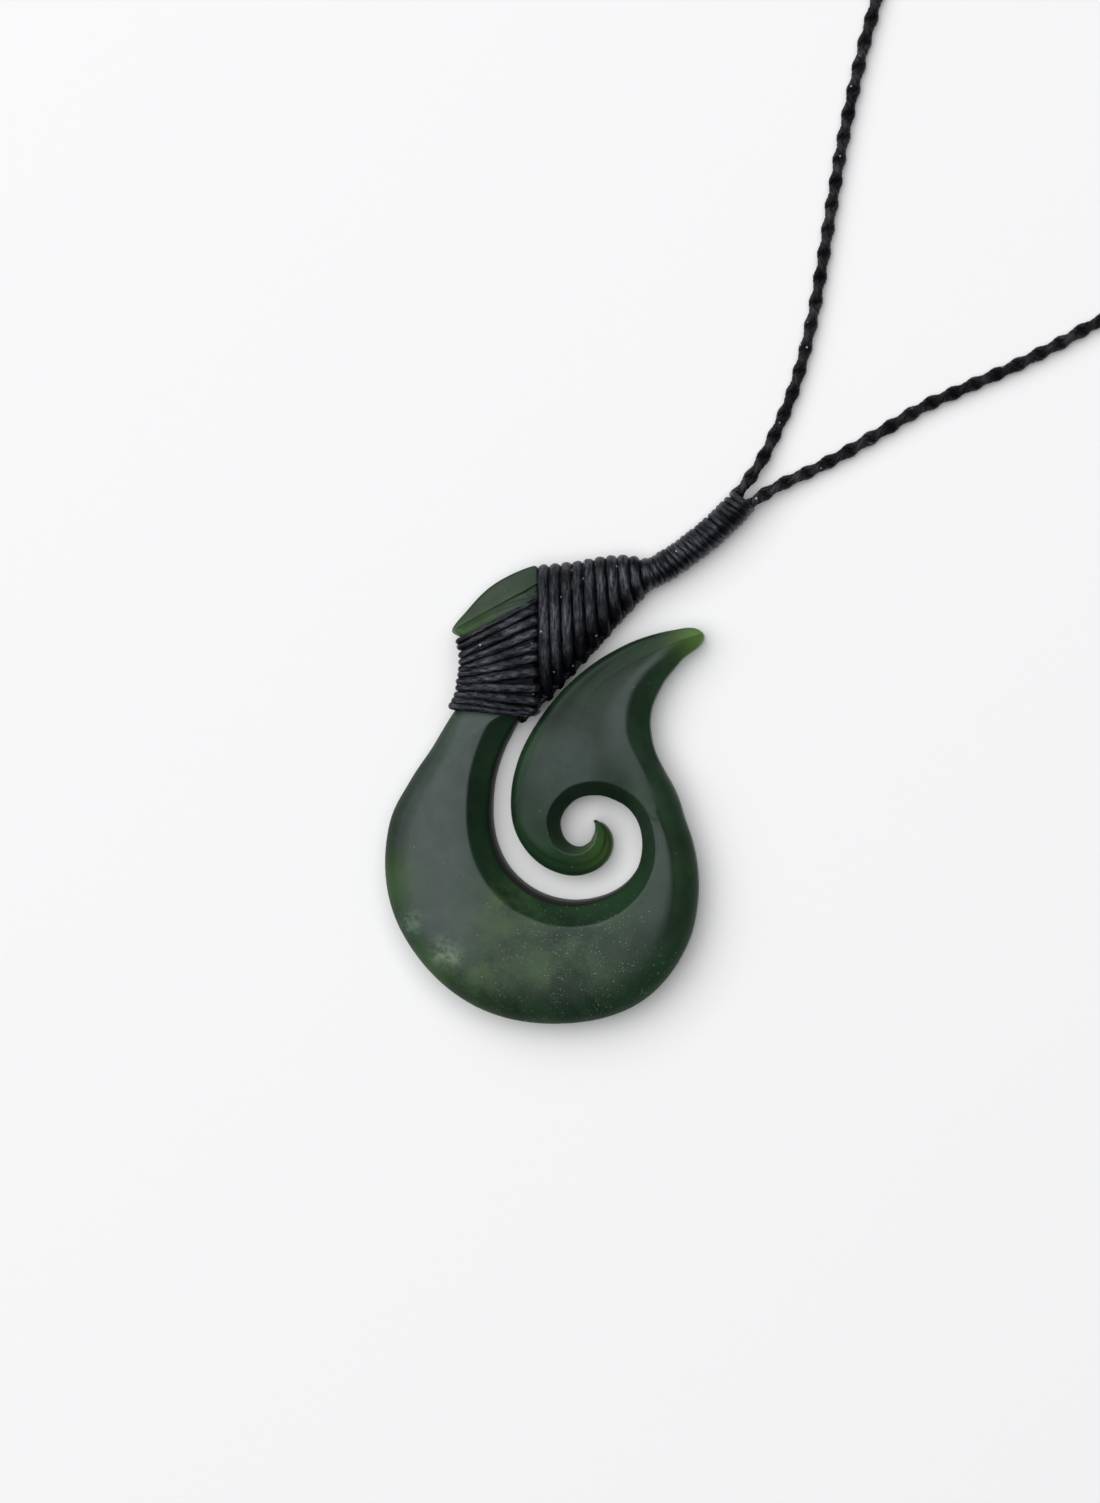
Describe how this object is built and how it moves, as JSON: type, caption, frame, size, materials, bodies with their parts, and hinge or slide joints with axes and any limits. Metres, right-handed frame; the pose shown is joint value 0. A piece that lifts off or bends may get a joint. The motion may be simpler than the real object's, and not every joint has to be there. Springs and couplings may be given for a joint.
{
  "type": "hei matau pendant",
  "caption": "Flat carved greenstone fish-hook pendant with an inner spiral, lashed with waxed thread to a plaited neck cord that is a closed loop; it lies on its back.",
  "frame": {"origin": "on the stone's flat back, in the middle of the bend, straight below the spiral's eye", "axes": "+X towards the side that the barb and the cord's foot are on, +Y from the bend up to the head, +Z out of the front face"},
  "size_m": [0.2399, 0.292, 0.0061],
  "materials": {
    "greenstone": "satin polished",
    "waxed_thread": "waxed, slight sheen",
    "plaited_cord": "waxed plait, slight sheen"
  },
  "bodies": {
    "root": {"stone_hook": "greenstone", "lower_lashing": "waxed_thread", "upper_lashing": "waxed_thread", "neck_whipping": "waxed_thread", "neck_cord_left": "plaited_cord", "neck_cord_right": "plaited_cord", "cord_join": "waxed_thread"}
  },
  "joints": []
}
